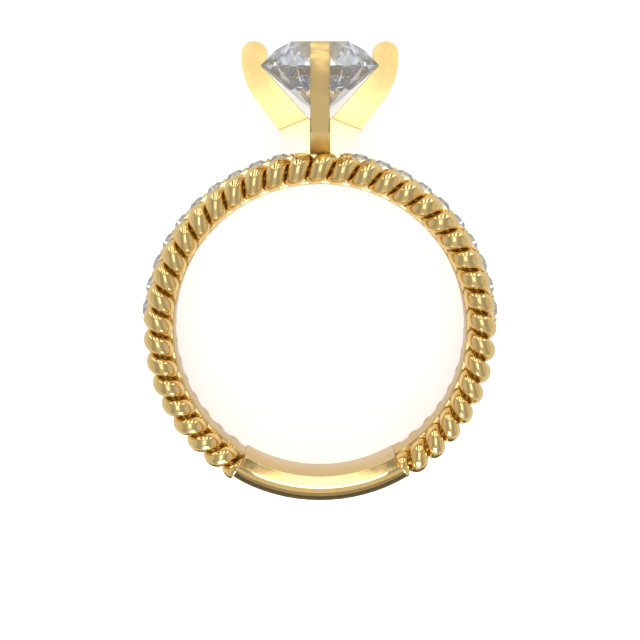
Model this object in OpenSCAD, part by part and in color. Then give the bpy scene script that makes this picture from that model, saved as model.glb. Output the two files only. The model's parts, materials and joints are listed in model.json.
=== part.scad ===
// Twisted shank engagement ring, lying on its side with its front face up.
//
// Every piece is built in the ring's own frame first: the finger hole's axis is Z, the
// front of the ring faces +Z, and the head stands towards +Y. The module at_rest then
// tips the whole ring the little way it leans when it lies on a table, on the outer side
// of its back prong and on the end of its back rope, and sets the origin under its middle.
// Angles round the ring are measured from the head, clockwise as the front shows them.

/* [Finger hole] */
// Diameter of the finger hole
finger_d = 16.5; // [15:0.1:18]

/* [Twisted ropes] */
// Distance of each rope's centre line from the middle plane of the ring
rope_side = 1.5; // [1.5:0.01:1.8]
// Angle round the ring from one turn of a rope's coiled wire to the next
turn_step = 7.875; // [7.7:0.025:8.1]
// Distance of the coiled wire's centre line from the centre line of its rope
coil_offset = 0.415; // [0.4:0.005:0.415]
// Half the wire's thickness, measured square to its rope
wire_half_t = 0.41; // [0.38:0.005:0.41]
// Half the wire's width, measured along its rope
wire_half_w = 0.5; // [0.44:0.01:0.5]
// Loss of a rope's half thickness from the head to the sizing bar
rope_taper = 0.09; // [0:0.01:0.09]
// Rings of points in one turn of the coil
turn_rings = 11; // [9:1:12]
// Sides of the wire
wire_sides = 8; // [6:1:8]

/* [Band] */
// Thickness of the sleeve that lines the finger hole
sleeve_t = 0.17; // [0.12:0.01:0.2]
// Width of the sleeve, along the finger
sleeve_w = 1.9; // [1.5:0.1:1.9]
// Width of the rail between the ropes
rail_w = 1.22; // [1.16:0.01:1.22]
// Height of the rail above the finger hole's wall where it carries stones
rail_rise = 1.62; // [1.5:0.01:1.64]
// Height of the rail above the finger hole's wall where it is bare
bare_rail_rise = 1.05; // [0.8:0.01:1.2]
// Radius of a grain
grain_r = 0.15; // [0.12:0.01:0.16]
// Distance of a grain's centre from the middle plane of the ring
grain_side = 0.44; // [0.42:0.01:0.45]

/* [Sizing bar] */
// Width of the bar, along the finger
bar_w = 3.42; // [3:0.02:3.6]
// Thickness of the bar in its middle
bar_t = 1.72; // [1.5:0.01:1.75]
// Height of the bar's straight sides, below the curve of its outside
bar_wall = 0.6; // [0.4:0.01:0.8]
// Radius of the upright corners at the bar's ends
bar_corner = 0.2; // [0.15:0.01:0.4]
// Angle from the bottom of the ring to each end of the bar
bar_half = 31; // [30:0.5:40]

/* [Head] */
// Thickness of a prong
prong_t = 1.05; // [0.9:0.01:1.08]
// Thickness of the foot's arms under the prongs
foot_t = 1.12; // [1.1:0.01:1.16]
// Height of the foot's underside above the finger hole's wall
foot_rise = 1.7; // [1.68:0.01:1.8]
// Distance from the head's axis to each end of the foot's underside
foot_reach = 1.33; // [1.2:0.01:1.4]
// Height of the prong tips above the finger hole's wall
tip_rise = 7.87; // [7.8:0.01:8]
// Radius of a prong's rounded tip, seen from its side
tip_r = 0.71; // [0.6:0.01:0.72]
// Distance from the head's axis to the outside of a prong
prong_reach = 4.35; // [4.3:0.01:4.6]
// Radius of the curve on the outside of a prong
prong_curve = 3.63; // [3.2:0.01:4]
// Length of the straight stretch between that curve and the tip
prong_straight = 0.21; // [0.1:0.01:0.4]
// Slope of a prong's inner edge, in degrees from level
inner_slope = 48.2; // [46:0.1:50]
// Height on the outer edge where the foot meets a prong, above the foot's underside
seam_rise = 1.29; // [1:0.01:1.5]
// Fall of the seam from the inner edge to the outer edge, in degrees from level
seam_slope = 21.7; // [10:0.1:30]

/* [Centre stone] */
// Diameter of the centre stone
centre_d = 6.5; // [6.4:0.01:6.6]
// Height of its girdle's upper edge above the finger hole's wall
girdle_rise = 6.57; // [6.5:0.01:6.6]
// Width of its table from corner to corner, as a share of its diameter
centre_table = 0.526; // [0.5:0.001:0.6]
// Height of its crown, as a share of its diameter
centre_crown = 0.2; // [0.16:0.001:0.21]
// Depth of its pavilion, as a share of its diameter
centre_pavilion = 0.435; // [0.42:0.001:0.44]

/* [Accent stones] */
// Diameter of an accent stone
accent_d = 1.2; // [1.1:0.01:1.22]
// Number of accent stones on each side of the head
accent_count = 10; // [6:1:10]
// Angle from the head to the first accent stone
accent_first = 13.25; // [13:0.05:14]
// Angle from one accent stone to the next
accent_step = 7.75; // [7.6:0.05:7.9]

/* [Hidden] */
gold = [0.86, 0.69, 0.36];
crystal = [0.86, 0.9, 0.97];

// Small clearances between one piece and the next
solder_gap = 0.02;
stone_gap = 0.03;

// Sides of the round forms
ring_sides = 180;
curve_sides = 120;
section_sides = 96;
tip_sides = 72;
grain_sides = 24;

// The finger hole and the ropes
finger_r = finger_d / 2;
hole_clearance = 0.01;
mean_rope_half = coil_offset + wire_half_t;
mean_rope_r = finger_r + hole_clearance + mean_rope_half;
head_rope_half = mean_rope_half + rope_taper / 2;
head_rope_r = finger_r + hole_clearance + head_rope_half;
rope_end = 180 - bar_half - solder_gap / mean_rope_r * 180 / PI;
rope_rings = round(2 * rope_end / turn_step * turn_rings);
// Advance of the wire along the rope for each radian of its turn
lead_per_radian = mean_rope_r * turn_step / 360;

// The band
sleeve_r = finger_r + sleeve_t;
rail_r = finger_r + rail_rise;
bare_rail_r = finger_r + bare_rail_rise;
// Share of a step that the raised part of the rail runs on past its last stone
rail_overrun = 0.65;
rail_end = accent_first + (accent_count - 1 + rail_overrun) * accent_step;
grain_sink = 0.01;
sleeve_edge = 0.06;

// The outside of the bar's section is part of a circle
bar_dome = bar_t - bar_wall;
bar_section_r = (pow(bar_w / 2, 2) + pow(bar_dome, 2)) / (2 * bar_dome);
bar_margin = 1;
// A corner's curve is a little too wide to run smoothly into the bar's side and end
corner_bulge = 0.02;

// The head: heights are distances from the finger hole's centre
foot_y = finger_r + foot_rise;
tip_y = finger_r + tip_rise - tip_r;
tip_x = prong_reach - tip_r;
curve_y = tip_y - prong_straight;
curve_x = prong_reach - prong_curve;
girdle_y = finger_r + girdle_rise;
girdle_t = 0.07;
// The corner of the notch that holds the girdle lies a little outside and below it
notch_x = centre_d / 2 + 0.04;
notch_y = girdle_y - 0.02;
// The foot's outer corner is joined to the curve by its tangent
foot_to_curve = norm([curve_x - foot_reach, curve_y - foot_y]);
tangent_angle = atan2(curve_y - foot_y, curve_x - foot_reach) - asin(prong_curve / foot_to_curve);
tangent_length = sqrt(pow(foot_to_curve, 2) - pow(prong_curve, 2));
tangent_x = foot_reach + tangent_length * cos(tangent_angle);
tangent_y = foot_y + tangent_length * sin(tangent_angle);
seam_y = foot_y + seam_rise;
seam_x = foot_reach + seam_rise / tan(tangent_angle);
// The peg under the foot runs into the rail below it and into the arms above it
peg_reach = 1.1;
peg_sink = 0.3;
peg_overlap = 0.1;
// Half the angle that a saddle over a rope spans
saddle_half = 8;

// The tilt at which a line along the table touches the back prong's curve and a point that
// lies so far below the finger hole's centre and so far behind the ring's middle plane
function lean_on(below, behind) =
    let (run = curve_y + below, drop = curve_x - behind)
        atan2(drop, run) + asin(prong_curve / norm([drop, run]));

// Half the angle between two corners of a stone's table
half_corner = 22.5;
// The centre stone's facets: where stars meet kites, and where lower kites meet
star_share = 0.494;
lower_share = 0.25;

// An accent stone's proportions
accent_table = 0.56;
accent_crown = 0.16;
accent_pavilion = 0.38;
accent_girdle_t = 0.04;
accent_lift = 0.03;
accent_girdle_r = rail_r + accent_lift;

// How the ring leans when it lies on its side: one line touches the outer curve of the back
// prong and the point of the back rope that it meets first.
rest_tilt = min([for (p = wire_points(-1)) lean_on(-p[1], -p[2])]);
rest_height = prong_curve + curve_x * cos(rest_tilt) - curve_y * sin(rest_tilt);
rest_top_y = tip_y * cos(rest_tilt) + tip_x * sin(rest_tilt) + tip_r;
rest_low_y = -(finger_r + bar_t - bar_section_r) * cos(rest_tilt) - bar_section_r;
rest_shift = [0, -(rest_top_y + rest_low_y) / 2, rest_height];

function stone_name(i) = str("accent_stone_", i < 10 ? "0" : "", i);

module at_rest() {
    translate(rest_shift)
        rotate([rest_tilt, 0, 0])
            children();
}

// Places something that points along +Z so that it points outwards at an angle round the ring
module around(angle, radius) {
    rotate([0, 0, -angle])
        translate([0, radius, 0])
            rotate([-90, 0, 0])
                children();
}

// Revolves a section from one angle round the ring to another
module sweep_section(from, to) {
    rotate([0, 0, 90 - to])
        rotate_extrude(angle = to - from, $fn = ring_sides)
            children();
}

// Twisted ropes. Each is one flattened wire, coiled round the rope's centre line. It is a
// little thinner towards the sizing bar.
function rope_size(angle) = 1 - rope_taper * (abs(angle) / rope_end - 0.5) / mean_rope_half;

// A point of the wire, from the place on the rope and the angle round the wire. Each ring of
// points stands square to the wire, and turns flat over the last turn before each end.
function wire_point(angle, around_wire, face) =
    let (
        size = rope_size(angle),
        offset = coil_offset * size,
        slant = norm([offset, lead_per_radian]),
        across = wire_half_w * size * sin(around_wire),
        outwards = offset - wire_half_t * size * cos(around_wire),
        along = across * offset / slant,
        side_share = across * lead_per_radian / slant,
        square = min(1, (rope_end - abs(angle)) / turn_step),
        turn = 360 * angle / turn_step - 90 - (1 - square) * along / lead_per_radian * 180 / PI,
        up = outwards * cos(turn) + side_share * sin(turn),
        back = outwards * sin(turn) - side_share * cos(turn),
        radius = finger_r + hole_clearance + mean_rope_half * size + up,
        place = angle + square * along / mean_rope_r * 180 / PI
    )
    [radius * sin(place), radius * cos(place), face * (rope_side - back)];

function wire_points(face) =
    [for (i = [0 : rope_rings], j = [0 : wire_sides - 1])
        wire_point((2 * i / rope_rings - 1) * rope_end, j * 360 / wire_sides, face)];

module rope(face) {
    sides = wire_sides;
    last = rope_rings * sides;
    walls = [
        for (i = [0 : rope_rings - 1], j = [0 : sides - 1])
            let (a = i * sides + j, b = i * sides + (j + 1) % sides)
                each [[a, b, a + sides], [b, b + sides, a + sides]]
    ];
    caps = [
        for (j = [1 : sides - 2])
            each [[0, j + 1, j], [last, last + j, last + j + 1]]
    ];
    faces = concat(walls, caps);
    polyhedron(wire_points(face), face > 0 ? faces : [for (f = faces) [f[0], f[2], f[1]]]);
}

module front_rope() {
    color(gold) at_rest() rope(1);
}

module back_rope() {
    color(gold) at_rest() rope(-1);
}

// Band
module sleeve_section() {
    polygon([
        [finger_r, -sleeve_w / 2 + sleeve_edge],
        [finger_r + sleeve_edge, -sleeve_w / 2],
        [sleeve_r, -sleeve_w / 2],
        [sleeve_r, sleeve_w / 2],
        [finger_r + sleeve_edge, sleeve_w / 2],
        [finger_r, sleeve_w / 2 - sleeve_edge]
    ]);
}

module rail_section(top_r) {
    translate([finger_r + sleeve_edge, -rail_w / 2])
        square([top_r - finger_r - sleeve_edge, rail_w]);
}

module grains() {
    for (side = [-1, 1], face = [-1, 1], i = [0 : accent_count])
        around(side * (accent_first + (i - 0.5) * accent_step), rail_r - grain_sink)
            translate([0, face * grain_side, 0])
                sphere(grain_r, $fn = grain_sides);
}

module band() {
    color(gold) at_rest() difference() {
        union() {
            sweep_section(-rope_end, rope_end) {
                sleeve_section();
                rail_section(bare_rail_r);
            }
            sweep_section(-rail_end, rail_end) rail_section(rail_r);
            grains();
        }
        for (i = [1 : 2 * accent_count])
            around(accent_angle(i), accent_girdle_r)
                accent_seat();
    }
}

// Sizing bar. What is cut off a corner is a square less part of a circle.
module bar_corner_cut(end, face) {
    around(180 + end * bar_half, finger_r - bar_margin)
        linear_extrude(bar_t + 2 * bar_margin)
            translate([-end * bar_corner, face * (bar_w / 2 - bar_corner)])
                rotate(atan2(face, end) - 45)
                    difference() {
                        square(bar_corner + bar_margin);
                        circle(bar_corner + corner_bulge, $fn = tip_sides);
                    }
}

module sizing_bar() {
    color(gold) at_rest() difference() {
        sweep_section(180 - bar_half, 180 + bar_half)
            intersection() {
                translate([finger_r + bar_t - bar_section_r, 0])
                    circle(bar_section_r, $fn = section_sides);
                translate([finger_r, -bar_w / 2])
                    square([bar_t + bar_margin, bar_w]);
            }
        for (end = [-1, 1], face = [-1, 1])
            bar_corner_cut(end, face);
    }
}

// Head. The outline of one prong is drawn with X as the distance from the head's axis and
// Y as the height.
module prong_outline() {
    inner_y = notch_y - notch_x * tan(inner_slope);
    beyond_x = prong_reach + 1;
    polygon([
        [0, foot_y],
        [foot_reach, foot_y],
        [tangent_x, tangent_y],
        [notch_x, notch_y],
        [0, inner_y]
    ]);
    intersection() {
        translate([curve_x, curve_y])
            circle(prong_curve, $fn = curve_sides);
        polygon([
            [tangent_x, tangent_y],
            [beyond_x, tangent_y],
            [beyond_x, curve_y],
            [notch_x, curve_y],
            [notch_x, notch_y]
        ]);
    }
    translate([notch_x, curve_y])
        square([prong_reach - notch_x, prong_straight]);
    translate([tip_x, tip_y])
        circle(tip_r, $fn = tip_sides);
}

// Everything below the seam between a prong and the foot
module below_seam() {
    far = 10;
    polygon([
        [seam_x + far, seam_y - far * tan(seam_slope)],
        [seam_x - far, seam_y + far * tan(seam_slope)],
        [seam_x - far, seam_y - far],
        [seam_x + far, seam_y - far]
    ]);
}

// A flat arm that stands in a plane through the head's axis, drawn on both sides of it
module arm(thickness) {
    translate([0, 0, -thickness / 2])
        linear_extrude(thickness) {
            children();
            mirror([1, 0, 0]) children();
        }
}

module prong_pair() {
    arm(prong_t)
        difference() {
            prong_outline();
            below_seam();
        }
    arm(foot_t)
        intersection() {
            prong_outline();
            below_seam();
        }
}

// The hollow under a prong's foot that sits over a rope
module rope_saddle(face) {
    sweep_section(-saddle_half, saddle_half)
        translate([head_rope_r, face * rope_side])
            circle(head_rope_half + solder_gap, $fn = tip_sides);
}

module head() {
    color(gold) at_rest() difference() {
        union() {
            prong_pair();
            rotate([0, 90, 0]) prong_pair();
            translate([-peg_reach, rail_r - peg_sink, -foot_t / 2])
                cube([2 * peg_reach, foot_y + peg_overlap - rail_r + peg_sink, foot_t]);
        }
        translate([0, girdle_y, 0])
            rotate([-90, 0, 0])
                centre_seat();
        cylinder(r = rail_r + solder_gap, h = 3 * prong_reach, center = true, $fn = ring_sides);
        for (face = [-1, 1])
            rope_saddle(face);
    }
}

// Round cut stones stand on Z with their girdle's upper edge at Z = 0. The crown has a table
// of eight corners, eight kites, eight stars and sixteen girdle facets; the pavilion has eight
// kites and sixteen girdle facets.
function ring_points(count, radius, height, start = 0) =
    [for (i = [0 : count - 1]) let (a = start + i * 360 / count)
        [radius * cos(a), radius * sin(a), height]];

// Height at the place where two kites and a star, or two lower kites, meet. The kite is flat.
function kite_rise(radius, meet_r, slope) = (radius - meet_r * cos(half_corner)) * slope;

module brilliant(d, table, crown, pavilion, edge) {
    r = d / 2;
    table_r = r * table;
    crown_h = d * crown;
    pavilion_h = d * pavilion;
    star_r = (r + table_r) * star_share;
    lower_r = r * lower_share;
    star_h = kite_rise(r, star_r, crown_h / (r - table_r));
    lower_h = kite_rise(r, lower_r, pavilion_h / r);
    // First indices: table 0, star meets 8, girdle 16 and 32, lower meets 48, culet 56
    points = concat(
        ring_points(8, table_r, crown_h),
        ring_points(8, star_r, star_h, half_corner),
        ring_points(16, r, 0),
        ring_points(16, r, -edge),
        ring_points(8, lower_r, -edge - lower_h, half_corner),
        [[0, 0, -edge - pavilion_h]]
    );
    top = [for (i = [7 : -1 : 0]) i];
    crown_facets = [
        for (i = [0 : 7])
            let (
                next = (i + 1) % 8,
                before = (i + 7) % 8,
                g = 16 + 2 * i,
                m = 17 + 2 * i,
                n = 16 + (2 * i + 2) % 16
            )
            each [[i, next, 8 + i], [i, 8 + i, g, 8 + before], [8 + i, m, g], [8 + i, n, m]]
    ];
    girdle_facets = [
        for (i = [0 : 15])
            let (next = (i + 1) % 16)
                [16 + i, 16 + next, 32 + next, 32 + i]
    ];
    pavilion_facets = [
        for (i = [0 : 7])
            let (
                before = (i + 7) % 8,
                g = 32 + 2 * i,
                m = 33 + 2 * i,
                n = 32 + (2 * i + 2) % 16
            )
            each [[g, 48 + i, 56, 48 + before], [g, m, 48 + i], [m, n, 48 + i]]
    ];
    polyhedron(points, concat([top], crown_facets, girdle_facets, pavilion_facets));
}

// The space that a round stone takes in its setting, a little wider all round
module seat(d, table, crown, pavilion, edge) {
    r = d / 2 + stone_gap;
    table_r = d / 2 * table + stone_gap;
    star_r = d / 2 * (1 + table) * star_share + stone_gap;
    star_h = kite_rise(d / 2, star_r - stone_gap, crown / (0.5 - 0.5 * table)) + stone_gap;
    rotate_extrude($fn = section_sides)
        polygon([
            [0, -edge - d * pavilion - stone_gap],
            [r, -edge - stone_gap],
            [r, stone_gap / 2],
            [star_r, star_h],
            [table_r, d * crown + stone_gap],
            [0, d * crown + stone_gap]
        ]);
}

module centre_seat() {
    seat(centre_d, centre_table, centre_crown, centre_pavilion, girdle_t);
}

module accent_seat() {
    seat(accent_d, accent_table, accent_crown, accent_pavilion, accent_girdle_t);
}

module centre_stone() {
    color(crystal) at_rest()
        translate([0, girdle_y, 0])
            rotate([-90, half_corner, 0])
                brilliant(centre_d, centre_table, centre_crown, centre_pavilion, girdle_t);
}

// Stones 1 to accent_count run down the right side of the head, the rest down the left
function accent_angle(i) =
    (i <= accent_count ? 1 : -1) * (accent_first + ((i - 1) % accent_count) * accent_step);

// An accent stone is a plain eight-sided cut: table, eight crown and eight pavilion facets
module single_cut(d, table, crown, pavilion, edge) {
    r = d / 2;
    points = concat(
        ring_points(8, r * table, d * crown),
        ring_points(8, r, 0),
        ring_points(8, r, -edge),
        [[0, 0, -edge - d * pavilion]]
    );
    top = [for (i = [7 : -1 : 0]) i];
    sides = [
        for (i = [0 : 7])
            let (next = (i + 1) % 8)
                each [
                    [i, next, 8 + next, 8 + i],
                    [8 + i, 8 + next, 16 + next, 16 + i],
                    [16 + i, 16 + next, 24]
                ]
    ];
    polyhedron(points, concat([top], sides));
}

module accent_stone(i) {
    color(crystal) at_rest()
        around(accent_angle(i), accent_girdle_r)
            rotate([0, 0, half_corner])
                single_cut(accent_d, accent_table, accent_crown, accent_pavilion, accent_girdle_t);
}

band();
front_rope();
back_rope();
sizing_bar();
head();
centre_stone();
for (i = [1 : 2 * accent_count])
    accent_stone(i);
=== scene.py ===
"""Looks for the twisted shank ring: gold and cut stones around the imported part."""

import json
import math

import bpy
import numpy as np
from mathutils import Matrix, Vector


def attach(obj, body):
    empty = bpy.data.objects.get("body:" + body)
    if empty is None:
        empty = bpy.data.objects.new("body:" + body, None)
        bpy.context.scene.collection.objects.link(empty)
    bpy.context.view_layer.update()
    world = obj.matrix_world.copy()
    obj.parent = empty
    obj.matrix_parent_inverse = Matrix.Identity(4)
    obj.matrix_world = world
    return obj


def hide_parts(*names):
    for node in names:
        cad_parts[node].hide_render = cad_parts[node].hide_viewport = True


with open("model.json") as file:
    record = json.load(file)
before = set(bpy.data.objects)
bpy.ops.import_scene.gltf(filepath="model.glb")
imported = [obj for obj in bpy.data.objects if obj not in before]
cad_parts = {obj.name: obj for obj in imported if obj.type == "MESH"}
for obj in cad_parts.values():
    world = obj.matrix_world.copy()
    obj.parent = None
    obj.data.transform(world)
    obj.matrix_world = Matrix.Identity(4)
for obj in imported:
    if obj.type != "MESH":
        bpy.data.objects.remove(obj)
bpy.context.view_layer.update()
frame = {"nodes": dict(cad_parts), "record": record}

MM = 0.001
GOLD_NODES = ("band", "sizing_bar", "head")
STONE_NODES = ["centre_stone"] + sorted(n for n in frame["nodes"] if n.startswith("accent_stone"))

# The ring's own frame: the finger hole's axis is Z with the front face up it, the head is at +Y
hole = frame["record"]["mounts"][0]
FINGER_R = hole["dims"]["r_mm"] * MM
lean = math.atan2(-hole["axis"][1], hole["axis"][2])
ring_frame = Matrix.Translation(Vector(hole["pos_m"])) @ Matrix.Rotation(lean, 4, "X")


def ring_point(x, y, z):
    """A point given in the ring's own frame in millimetres, placed in the row frame."""
    return ring_frame @ (Vector((x, y, z)) * MM)


def make_object(name, vertices, faces, material, smooth=True):
    """A mesh object that belongs to the scene, from points in the row frame."""
    mesh = bpy.data.meshes.new(name)
    mesh.from_pydata([tuple(v) for v in vertices], [], faces)
    mesh.validate()
    mesh.polygons.foreach_set("use_smooth", [smooth] * len(mesh.polygons))
    mesh.materials.append(material)
    obj = bpy.data.objects.new(name, mesh)
    bpy.context.scene.collection.objects.link(obj)
    return obj


# Shader nodes

# A noise texture mostly keeps to this part of its range
NOISE_LOW, NOISE_HIGH = 0.3, 0.7


def new_material(name):
    """A material with its shader and its output alone, its nodes and its links."""
    material = bpy.data.materials.new(name)
    material.use_nodes = True
    nodes, links = material.node_tree.nodes, material.node_tree.links
    nodes.clear()
    shader = nodes.new("ShaderNodeBsdfPrincipled")
    output = nodes.new("ShaderNodeOutputMaterial")
    links.new(shader.outputs["BSDF"], output.inputs["Surface"])
    return material, nodes, links, shader


def noise(nodes, links, source, features, detail):
    """A noise texture with so many features to the millimetre."""
    texture = nodes.new("ShaderNodeTexNoise")
    texture.inputs["Scale"].default_value = features / MM
    texture.inputs["Detail"].default_value = detail
    links.new(source, texture.inputs["Vector"])
    return texture.outputs["Fac"]


def ramp(nodes, links, source, start, end, low, high):
    """Maps the range from start to end to the range from low to high."""
    node = nodes.new("ShaderNodeMapRange")
    for socket, value in (("From Min", start), ("From Max", end), ("To Min", low), ("To Max", high)):
        node.inputs[socket].default_value = value
    links.new(source, node.inputs["Value"])
    return node.outputs["Result"]


def spread(nodes, links, source, low, high):
    """Maps a noise's middle range to the range from low to high."""
    return ramp(nodes, links, source, NOISE_LOW, NOISE_HIGH, low, high)


def mix_colour(nodes, links, factor, low, high):
    """A colour that goes from low to high with the factor. Each is a colour or a socket."""
    node = nodes.new("ShaderNodeMix")
    node.data_type = "RGBA"
    links.new(factor, node.inputs["Factor"])
    for socket, value in (("A", low), ("B", high)):
        if isinstance(value, tuple):
            node.inputs[socket].default_value = (*value, 1)
        else:
            links.new(value, node.inputs[socket])
    return node.outputs["Result"]


def calculate(nodes, links, operation, first, second=None):
    """A sum, product or the like of two sockets or numbers."""
    node = nodes.new("ShaderNodeMath")
    node.operation = operation
    for place, value in enumerate((first, second)):
        if isinstance(value, (int, float)):
            node.inputs[place].default_value = value
        elif value is not None:
            links.new(value, node.inputs[place])
    return node.outputs["Value"]


def combine(nodes, links, operation, first, second):
    """The node for a sum, product or the like of a vector socket and a vector or its socket."""
    node = nodes.new("ShaderNodeVectorMath")
    node.operation = operation
    links.new(first, node.inputs[0])
    if isinstance(second, Vector):
        node.inputs[1].default_value = second
    else:
        links.new(second, node.inputs[1])
    return node


def add_bump(nodes, links, shader, height, strength, distance):
    """Bump on a shader, from a height socket."""
    bump = nodes.new("ShaderNodeBump")
    bump.inputs["Strength"].default_value = strength
    bump.inputs["Distance"].default_value = distance
    links.new(height, bump.inputs["Height"])
    links.new(bump.outputs["Normal"], shader.inputs["Normal"])


# Gold

GOLD = (0.93, 0.68, 0.29)
DEEP_GOLD = (0.9, 0.64, 0.26)
# Painted shade: the gold's colour where little of the sky is open
CREVICE_SHADE_GOLD = (0.72, 0.53, 0.22)
WORN_GOLD = (0.96, 0.78, 0.42)
# Painted dark reflection along the head's edges, where the other pieces show wear
DARK_EDGE_REFLECTION = (0.3, 0.27, 0.12)
# The seam's dark joint line, and the painted shade above it
SEAM_LINE_AND_SHADE_GOLD = (0.36, 0.25, 0.12)

# Features to the millimetre and detail of each noise
TONE_NOISE = (0.5, 3)
RUBBED_OR_REFLECTION_NOISE = (3, 3)
POLISH_NOISE = (2.5, 4)
GOLD_BUMP_NOISE = (4, 3)

# An edge is worn, or on the head given a painted dark reflection, where rounding it turns the surface:
# the cosines where this starts and is full
EDGE_SAMPLES = 4
WEAR_OR_REFLECTION_START = 0.995
WEAR_OR_REFLECTION_FULL = 0.93
LEAST_RUBBED_OR_REFLECTION = 0.3
WEAR_ROUGHNESS = 0.08

# A crevice is where little of the sky is open, and there the gold gets painted shade: the share at
# which it is at its darkest
CREVICE_SAMPLES = 6
CREVICE_DARKEST = 0.15
CREVICE_ROUGHNESS = 0.3
CREVICE_DULL_END = 0.8
GOLD_BUMP_STRENGTH = 0.4

# The seam between a prong and the foot slopes from its outer end up to its inner end
SEAM_X = 2.293 * MM
SEAM_Y = 11.24 * MM
SEAM_SLOPE = math.radians(21.7)
SEAM_LINE_FULL = 0.02 * MM
SEAM_LINE_END = 0.07 * MM
# Painted shade above the seam line: its strength at the line, the height over which it fades and its
# soft lower edge
SEAM_SHADE = 0.6
SEAM_SHADE_HEIGHT = 0.9 * MM
SEAM_SHADE_EDGE = 0.01 * MM
# The seam shows on the flat sides of the arms, which lie this far from the head's middle planes
ARM_SIDE_START = 0.42 * MM
ARM_SIDE_FULL = 0.5 * MM

# Duller patches on the front and back arms: centre, full radius, outer radius, added roughness
SOLDERED_FEET = [(ring_point(0, 9.8, side * 1.9), 0.8 * MM, 1.5 * MM, 0.35) for side in (1, -1)]
RUBBED_TIPS = [(ring_point(0, 14.6, side * 4.2), 1.2 * MM, 2.2 * MM, 0.3) for side in (1, -1)]

# A look is a roughness and how far it varies, the height of the bump, the width and colour of the
# worn edges or of their painted dark reflection, and how deep the painted crevice shade reaches with
# the share of open sky at which it ends
PLAIN_LOOK = {
    "roughness": 0.045, "spread": 0.01, "bump": 0.0001 * MM,
    "edge": 0.06 * MM, "wear_or_reflection_colour": WORN_GOLD, "crevice": 0.5 * MM, "crevice_end": 0.6,
}
# The head's edges get a painted dark reflection rather than wear
HEAD_LOOK = {
    "roughness": 0.06, "spread": 0.01, "bump": 0.0001 * MM,
    "edge": 0.08 * MM, "wear_or_reflection_colour": DARK_EDGE_REFLECTION, "crevice": 0.7 * MM, "crevice_end": 0.55,
    "haze": SOLDERED_FEET + RUBBED_TIPS, "seam": True,
}
ROPE_LOOK = {
    "roughness": 0.12, "spread": 0.03, "bump": 0.003 * MM,
    "edge": 0.04 * MM, "wear_or_reflection_colour": WORN_GOLD, "crevice": 0.45 * MM, "crevice_end": 0.5,
}


def worn_or_reflecting_edges(nodes, links, radius):
    """1 along the edges, falling to 0 within the radius."""
    rounded = nodes.new("ShaderNodeBevel")
    rounded.samples = EDGE_SAMPLES
    rounded.inputs["Radius"].default_value = radius
    plain = nodes.new("ShaderNodeNewGeometry")
    dot = combine(nodes, links, "DOT_PRODUCT", rounded.outputs["Normal"], plain.outputs["Normal"])
    return ramp(nodes, links, dot.outputs["Value"], WEAR_OR_REFLECTION_START, WEAR_OR_REFLECTION_FULL, 0.0, 1.0)


def haze(nodes, links, place, centre, inner, outer, amount):
    """Extra roughness round a point: the whole amount within inner, none beyond outer."""
    away = combine(nodes, links, "DISTANCE", place, centre)
    return ramp(nodes, links, away.outputs["Value"], inner, outer, amount, 0.0)


def along_axis(nodes, links, place, axis):
    """How far a place lies along one of the ring's own axes."""
    moved = combine(nodes, links, "SUBTRACT", place, ring_frame.translation)
    turned = ring_frame.to_3x3() @ Vector(axis)
    return combine(nodes, links, "DOT_PRODUCT", moved.outputs["Vector"], turned).outputs["Value"]


def seam_shade(nodes, links, place):
    """1 on the sloping seam between a prong and the foot, a dark joint line, with painted shade above
    it that fades out upwards.
    """
    side = calculate(nodes, links, "ABSOLUTE", along_axis(nodes, links, place, (1, 0, 0)))
    front = calculate(nodes, links, "ABSOLUTE", along_axis(nodes, links, place, (0, 0, 1)))
    reach = calculate(nodes, links, "MAXIMUM", side, front)
    height = along_axis(nodes, links, place, (0, 1, 0))
    rise = calculate(nodes, links, "SUBTRACT", height, SEAM_Y)
    rise = calculate(nodes, links, "MULTIPLY", rise, math.cos(SEAM_SLOPE))
    run = calculate(nodes, links, "SUBTRACT", reach, SEAM_X)
    run = calculate(nodes, links, "MULTIPLY", run, math.sin(SEAM_SLOPE))
    above = calculate(nodes, links, "ADD", rise, run)
    away = calculate(nodes, links, "ABSOLUTE", above)
    line = ramp(nodes, links, away, SEAM_LINE_FULL, SEAM_LINE_END, 1.0, 0.0)
    shade = ramp(nodes, links, above, 0.0, SEAM_SHADE_HEIGHT, SEAM_SHADE, 0.0)
    upper = ramp(nodes, links, above, -SEAM_SHADE_EDGE, SEAM_SHADE_EDGE, 0.0, 1.0)
    shade = calculate(nodes, links, "MULTIPLY", shade, upper)
    inset = calculate(nodes, links, "MINIMUM", side, front)
    flat = ramp(nodes, links, inset, ARM_SIDE_START, ARM_SIDE_FULL, 0.0, 1.0)
    both = calculate(nodes, links, "MAXIMUM", line, shade)
    return calculate(nodes, links, "MULTIPLY", both, flat)


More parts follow.
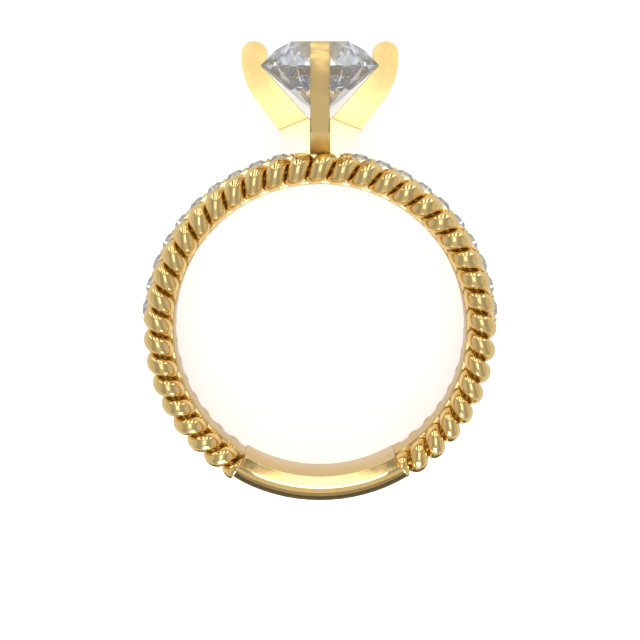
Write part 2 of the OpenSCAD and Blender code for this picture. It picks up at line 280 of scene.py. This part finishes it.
def gold_material(name, look):
    """Polished yellow gold, with painted shade and more roughness in its crevices, edges that are worn
    a little or carry a painted dark reflection, and on the head a dark seam line with painted shade
    above it.
    """
    material, nodes, links, shader = new_material(name)
    place = nodes.new("ShaderNodeTexCoord").outputs["Object"]

    cloud = spread(nodes, links, noise(nodes, links, place, *TONE_NOISE), 0.0, 1.0)
    tone = mix_colour(nodes, links, cloud, DEEP_GOLD, GOLD)
    open_sky = nodes.new("ShaderNodeAmbientOcclusion")
    open_sky.samples = CREVICE_SAMPLES
    open_sky.inputs["Distance"].default_value = look["crevice"]
    clear = ramp(nodes, links, open_sky.outputs["AO"], CREVICE_DARKEST, look["crevice_end"], 0.0, 1.0)
    # Painted shade in the crevices, darkest where least of the sky is open
    tone = mix_colour(nodes, links, clear, CREVICE_SHADE_GOLD, tone)
    if look.get("seam"):
        # A dark joint line along the seam with painted shade above it
        tone = mix_colour(nodes, links, seam_shade(nodes, links, place), tone, SEAM_LINE_AND_SHADE_GOLD)
    rubbed_or_reflecting = spread(nodes, links, noise(nodes, links, place, *RUBBED_OR_REFLECTION_NOISE), LEAST_RUBBED_OR_REFLECTION, 1.0)
    wear_or_reflection = calculate(nodes, links, "MULTIPLY", worn_or_reflecting_edges(nodes, links, look["edge"]), rubbed_or_reflecting)
    # Paler worn edges, and on the head a painted dark reflection along them instead
    tone = mix_colour(nodes, links, wear_or_reflection, tone, look["wear_or_reflection_colour"])
    links.new(tone, shader.inputs["Base Color"])

    smoothest = look["roughness"] - look["spread"]
    roughest = look["roughness"] + look["spread"]
    polish = spread(nodes, links, noise(nodes, links, place, *POLISH_NOISE), smoothest, roughest)
    worn_dull = calculate(nodes, links, "MULTIPLY", wear_or_reflection, WEAR_ROUGHNESS)
    polish = calculate(nodes, links, "ADD", polish, worn_dull)
    crevice_dull = ramp(nodes, links, clear, 0.0, CREVICE_DULL_END, CREVICE_ROUGHNESS, 0.0)
    polish = calculate(nodes, links, "ADD", polish, crevice_dull)
    for patch in look.get("haze", ()):
        polish = calculate(nodes, links, "ADD", polish, haze(nodes, links, place, *patch))
    links.new(polish, shader.inputs["Roughness"])

    grain = noise(nodes, links, place, *GOLD_BUMP_NOISE)
    add_bump(nodes, links, shader, grain, GOLD_BUMP_STRENGTH, look["bump"])
    shader.inputs["Metallic"].default_value = 1.0
    return material


# Stones

COOL_STONE = (0.82, 0.9, 1.0)
CLEAR_STONE = (0.95, 0.98, 1.0)
# Painted light: a faint glow that lifts the stones' darkest facets
STONE_GLOW_COLOUR = (0.85, 0.9, 1.0, 1)
STONE_GLOW = 0.04
STONE_IOR = 2.3
STONE_ROUGHEST = 0.01
STONE_BUMP = 0.001 * MM
STONE_BUMP_STRENGTH = 0.05
CAST_NOISE = (0.4, 2)
FACE_NOISE = (3, 2)
STONE_BUMP_NOISE = (4, 2)


def stone_material(name):
    """A clear cut stone, with a faint cool cast that varies a little and a faint painted glow."""
    material, nodes, links, shader = new_material(name)
    place = nodes.new("ShaderNodeTexCoord").outputs["Object"]
    cast = spread(nodes, links, noise(nodes, links, place, *CAST_NOISE), 0.0, 1.0)
    links.new(mix_colour(nodes, links, cast, COOL_STONE, CLEAR_STONE), shader.inputs["Base Color"])
    polish = spread(nodes, links, noise(nodes, links, place, *FACE_NOISE), 0.0, STONE_ROUGHEST)
    links.new(polish, shader.inputs["Roughness"])
    grain = noise(nodes, links, place, *STONE_BUMP_NOISE)
    add_bump(nodes, links, shader, grain, STONE_BUMP_STRENGTH, STONE_BUMP)
    shader.inputs["Emission Color"].default_value = STONE_GLOW_COLOUR
    shader.inputs["Emission Strength"].default_value = STONE_GLOW
    shader.inputs["IOR"].default_value = STONE_IOR
    shader.inputs["Transmission Weight"].default_value = 1.0
    return material


gold = gold_material("polished_gold", PLAIN_LOOK)
head_gold = gold_material("head_gold", HEAD_LOOK)
rope_gold = gold_material("rope_gold", ROPE_LOOK)
diamond = stone_material("diamond")


# Ropes: each is one flattened wire, coiled round the rope's centre line

HOLE_CLEARANCE = 0.01 * MM
ROPE_SIDE = 1.5 * MM
TURN_STEP = math.radians(7.875)
COIL_OFFSET = 0.415 * MM
WIRE_HALF_T = 0.41 * MM
WIRE_HALF_W = 0.5 * MM
ROPE_TAPER = 0.09 * MM
BAR_HALF = math.radians(31)
BAR_GAP = 0.02 * MM
RINGS_PER_TURN = 26
WIRE_SIDES = 28

MEAN_ROPE_HALF = COIL_OFFSET + WIRE_HALF_T
MEAN_ROPE_R = FINGER_R + HOLE_CLEARANCE + MEAN_ROPE_HALF
ROPE_END = math.pi - BAR_HALF - BAR_GAP / MEAN_ROPE_R
LEAD = MEAN_ROPE_R * TURN_STEP / (2 * math.pi)
WIRE_RINGS = round(2 * ROPE_END / TURN_STEP * RINGS_PER_TURN)


def wire_points(face):
    """Points of one rope's wire, a row for each ring, in the ring's own frame and in metres.

    The angle runs round the finger from the head. The wire's section stands square to its slant,
    and over the last turn it swings round until the wire ends flat against the bar.
    """
    angle = np.linspace(-ROPE_END, ROPE_END, WIRE_RINGS + 1)[:, None]
    around = np.linspace(0, 2 * math.pi, WIRE_SIDES, endpoint=False)[None, :]
    size = 1 - ROPE_TAPER * (np.abs(angle) / ROPE_END - 0.5) / MEAN_ROPE_HALF
    offset = COIL_OFFSET * size
    slant = np.hypot(offset, LEAD)
    across = WIRE_HALF_W * size * np.sin(around)
    outwards = offset - WIRE_HALF_T * size * np.cos(around)
    along = across * offset / slant
    side_share = across * LEAD / slant
    square = np.minimum(1, (ROPE_END - np.abs(angle)) / TURN_STEP)
    turn = 2 * math.pi * angle / TURN_STEP - math.pi / 2 - (1 - square) * along / LEAD
    up = outwards * np.cos(turn) + side_share * np.sin(turn)
    back = outwards * np.sin(turn) - side_share * np.cos(turn)
    radius = FINGER_R + HOLE_CLEARANCE + MEAN_ROPE_HALF * size + up
    place = angle + square * along / MEAN_ROPE_R
    rows = (radius * np.sin(place), radius * np.cos(place), face * (ROPE_SIDE - back))
    return np.stack(rows, axis=-1).reshape(-1, 3)


def wire_faces(face):
    """Faces between the rings of a wire, then its two end caps."""
    faces = []
    for i in range(WIRE_RINGS):
        for j in range(WIRE_SIDES):
            a = i * WIRE_SIDES + j
            b = i * WIRE_SIDES + (j + 1) % WIRE_SIDES
            faces.append((a, b, b + WIRE_SIDES, a + WIRE_SIDES))
    last = WIRE_RINGS * WIRE_SIDES
    faces.append(tuple(range(WIRE_SIDES - 1, -1, -1)))
    faces.append(tuple(last + j for j in range(WIRE_SIDES)))
    if face < 0:
        faces = [f[::-1] for f in faces]
    return faces


def add_rope(node, face):
    """A finer coiled wire that stands for the CAD node's. face is 1 in front and -1 at the back."""
    points = [ring_frame @ Vector(p) for p in wire_points(face)]
    obj = make_object(node + "_fine", points, wire_faces(face), rope_gold)
    for cap in list(obj.data.polygons)[-2:]:
        cap.use_smooth = False
    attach(obj, "root")
    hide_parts(node)


add_rope("front_rope", 1)
add_rope("back_rope", -1)


# CAD nodes that show as they are: edges eased, materials on

EDGE_MM = {"band": 0.03, "sizing_bar": 0.04, "head": 0.035}
WELD_MM = 0.0005
EDGE_SEGMENTS = 3
SHARP_ANGLE = math.radians(25)
COPLANAR_ANGLE = math.radians(0.2)


def dress_gold(name, material):
    """Gold on a CAD node, with its sharp edges eased."""
    node = frame["nodes"][name]
    node.data.materials.clear()
    node.data.materials.append(material)
    weld = node.modifiers.new("weld", "WELD")
    weld.merge_threshold = WELD_MM * MM
    if name == "head":
        # Long thin triangles in its flat sides would shade as lines
        flat = node.modifiers.new("whole_faces", "DECIMATE")
        flat.decimate_type = "DISSOLVE"
        flat.angle_limit = COPLANAR_ANGLE
    bevel = node.modifiers.new("eased_edges", "BEVEL")
    bevel.width = EDGE_MM[name] * MM
    bevel.segments = EDGE_SEGMENTS
    bevel.limit_method = "ANGLE"
    bevel.angle_limit = SHARP_ANGLE
    bevel.harden_normals = True


def dress_stone(name):
    """The stones' material on a CAD node. Its facets stay sharp."""
    node = frame["nodes"][name]
    node.data.materials.clear()
    node.data.materials.append(diamond)


for name in GOLD_NODES:
    dress_gold(name, head_gold if name == "head" else gold)
for name in STONE_NODES:
    dress_stone(name)


# Floor

FLOOR_HALF = 2.0
FLOOR_WHITE = (0.95, 0.95, 0.95, 1)
FLOOR_ROUGHNESS = (0.55, 0.6)
FLOOR_NOISE = (0.2, 2)
# The floor's own light, as the gold and the stones see it and as the camera does
FLOOR_GLOW = (0.12, 0.5)


def add_floor(half_width):
    """A plain pale floor under the ring, with a little light of its own so that it stays pale."""
    material, nodes, links, shader = new_material("pale_floor")
    place = nodes.new("ShaderNodeTexCoord").outputs["Object"]
    polish = spread(nodes, links, noise(nodes, links, place, *FLOOR_NOISE), *FLOOR_ROUGHNESS)
    links.new(polish, shader.inputs["Roughness"])
    shader.inputs["Base Color"].default_value = FLOOR_WHITE
    shader.inputs["Emission Color"].default_value = (1, 1, 1, 1)
    seen = nodes.new("ShaderNodeLightPath").outputs["Is Camera Ray"]
    links.new(ramp(nodes, links, seen, 0, 1, *FLOOR_GLOW), shader.inputs["Emission Strength"])
    corners = [(x * half_width, y * half_width, 0) for x, y in ((-1, -1), (1, -1), (1, 1), (-1, 1))]
    make_object("floor", corners, [(0, 1, 2, 3)], material, smooth=False)


# Light

def mirrored(across, *rest):
    """A soft box and its mirror image on the left."""
    return (-across, *rest), (across, *rest)


# Each box is its place across and up, its half width and half height, its soft edge, all in degrees
# with 0, 0 in front of the ring, and how much brighter or darker it is than the surround
SURROUND = 0.62
SOFT_BOXES = (
    # A tall strip in front, which draws the streaks on the ropes, and slightly darker sides
    (0, 11, 5, 19, 7, 1.5),
    *mirrored(33, 0, 11, 60, 9, -0.2),
    # A wide light beyond the head with three dark gaps in it, for contrast in the stones
    (0, 76, 40, 24, 7, 1.5),
    (0, 70, 3, 18, 3, -1.9),
    *mirrored(20, 70, 4, 18, 3, -1.9),
    # Darker patches for the tips of the side prongs
    *mirrored(3.4, 0.6, 2.1, 3.0, 0.4, -0.45),
    *mirrored(1.95, 0.6, 0.35, 1.6, 0.4, -0.75),
    # A bright strip for the flat sides of the foot, and dark patches below it
    (0, -3.6, 4, 1.1, 0.15, 1.3),
    *mirrored(4.6, -6.6, 2.4, 1.8, 0.4, -1.2),
    # Dark ends and a bright middle for the flat side of the bar
    *mirrored(2.3, -12.1, 1.1, 0.5, 0.2, -0.95),
    (0, -14.3, 3.5, 1.5, 0.2, 1.4),
)

# The card lights the bar's dome from in front and below. Millimetres in the ring's own frame.
CARD_PLACE = (0, -15, 7.2)
CARD_AIM = (0, -10, 2.2)
CARD_SIZE = (14, 5.8)
CARD_BRIGHTNESS = 2.2
CARD_SPREAD = math.radians(60)

# Each flag is its name, the Y and Z of its near and far edges in millimetres, and its grey
FLAG_HALF_WIDTH = 11
FLAGS = (
    ("pale_flag", ((-16.6, 1.6), (-17, 4.6)), 0.8),
    ("grey_flag", ((-16.5, -1.3), (-16.6, 1.6)), 0.4),
    # The dark flag paints a dark reflection into the foot of the bar's dome, where the floor's shadow
    # would show
    ("dark_flag", ((-10.4, -1.9), (-16.5, -1.3)), 0.12),
)


def soft_side(nodes, links, angle, centre, half, edge):
    """1 within half a width of the centre, falling to 0 over the edge. Degrees."""
    away = calculate(nodes, links, "SUBTRACT", angle, math.radians(centre))
    away = calculate(nodes, links, "ABSOLUTE", away)
    start = math.radians(half + edge)
    full = math.radians(half)
    inside = ramp(nodes, links, away, start, full, 0.0, 1.0)
    inside.node.interpolation_type = "SMOOTHSTEP"
    return inside


def studio_sky(name, base, boxes):
    """An even surround with soft boxes in it, placed in the ring's own frame."""
    world = bpy.data.worlds.new(name)
    bpy.context.scene.world = world
    world.use_nodes = True
    nodes, links = world.node_tree.nodes, world.node_tree.links
    turned = nodes.new("ShaderNodeVectorRotate")
    turned.rotation_type = "X_AXIS"
    turned.inputs["Angle"].default_value = -lean
    links.new(nodes.new("ShaderNodeTexCoord").outputs["Generated"], turned.inputs["Vector"])
    parts = nodes.new("ShaderNodeSeparateXYZ")
    links.new(turned.outputs["Vector"], parts.inputs["Vector"])
    across = calculate(nodes, links, "ARCSINE", parts.outputs["X"])
    up = calculate(nodes, links, "ARCSINE", parts.outputs["Y"])
    total = base
    for box_across, box_up, half_width, half_height, edge, gain in boxes:
        wide = soft_side(nodes, links, across, box_across, half_width, edge)
        high = soft_side(nodes, links, up, box_up, half_height, edge)
        share = calculate(nodes, links, "MULTIPLY", wide, high)
        total = calculate(nodes, links, "ADD", total, calculate(nodes, links, "MULTIPLY", share, gain))
    nodes["Background"].inputs["Color"].default_value = (1, 1, 1, 1)
    links.new(total, nodes["Background"].inputs["Strength"])


def add_card(name, place, aim, size, brightness):
    """A small white card of light that the camera doesn't see."""
    light = bpy.data.lights.new(name, "AREA")
    light.shape = "RECTANGLE"
    light.size, light.size_y = (s * MM for s in size)
    light.energy = brightness * math.pi * light.size * light.size_y
    light.spread = CARD_SPREAD
    obj = bpy.data.objects.new(name, light)
    bpy.context.scene.collection.objects.link(obj)
    start = ring_point(*place)
    end = ring_point(*aim)
    obj.location = start
    obj.rotation_mode = "QUATERNION"
    obj.rotation_quaternion = (end - start).to_track_quat("-Z", "Y")
    obj.visible_camera = False


def add_flag(name, edges, grey):
    """A grey card that shows only in the gold and the stones."""
    material, nodes, links, shader = new_material(name)
    shader.inputs["Base Color"].default_value = (grey, grey, grey, 1)
    shader.inputs["Roughness"].default_value = 1.0
    (near_y, near_z), (far_y, far_z) = edges
    corners = ((-1, near_y, near_z), (1, near_y, near_z), (1, far_y, far_z), (-1, far_y, far_z))
    points = [ring_point(x * FLAG_HALF_WIDTH, y, z) for x, y, z in corners]
    flag = make_object(name, points, [(0, 1, 2, 3)], material, smooth=False)
    flag.visible_camera = False
    flag.visible_shadow = False
    flag.visible_diffuse = False


# Camera

CAMERA_DISTANCE = 107.1 * MM
CAMERA_PITCH = math.radians(8.28)
LENS = 106.0
SENSOR = 36.0
FRAME_PIXELS = 640
# Pixels by which the finger hole's centre lies below the middle of the picture
CENTRE_DROP = 8.2
CLIP_START = 1 * MM
CLIP_END = 10


def add_camera():
    """A camera that looks at the finger hole's centre, from in front and a little above."""
    data = bpy.data.cameras.new("camera")
    data.sensor_width = SENSOR
    data.lens = LENS
    data.shift_y = CENTRE_DROP / FRAME_PIXELS
    data.clip_start = CLIP_START
    data.clip_end = CLIP_END
    camera = bpy.data.objects.new("camera", data)
    bpy.context.scene.collection.objects.link(camera)
    camera.matrix_world = (
        ring_frame
        @ Matrix.Rotation(-CAMERA_PITCH, 4, "X")
        @ Matrix.Translation((0, 0, CAMERA_DISTANCE))
    )
    bpy.context.scene.camera = camera


add_floor(FLOOR_HALF)
studio_sky("studio", SURROUND, SOFT_BOXES)
add_card("low_card", CARD_PLACE, CARD_AIM, CARD_SIZE, CARD_BRIGHTNESS)
for flag_name, flag_edges, flag_grey in FLAGS:
    add_flag(flag_name, flag_edges, flag_grey)
add_camera()
bpy.context.scene.view_settings.view_transform = "Standard"
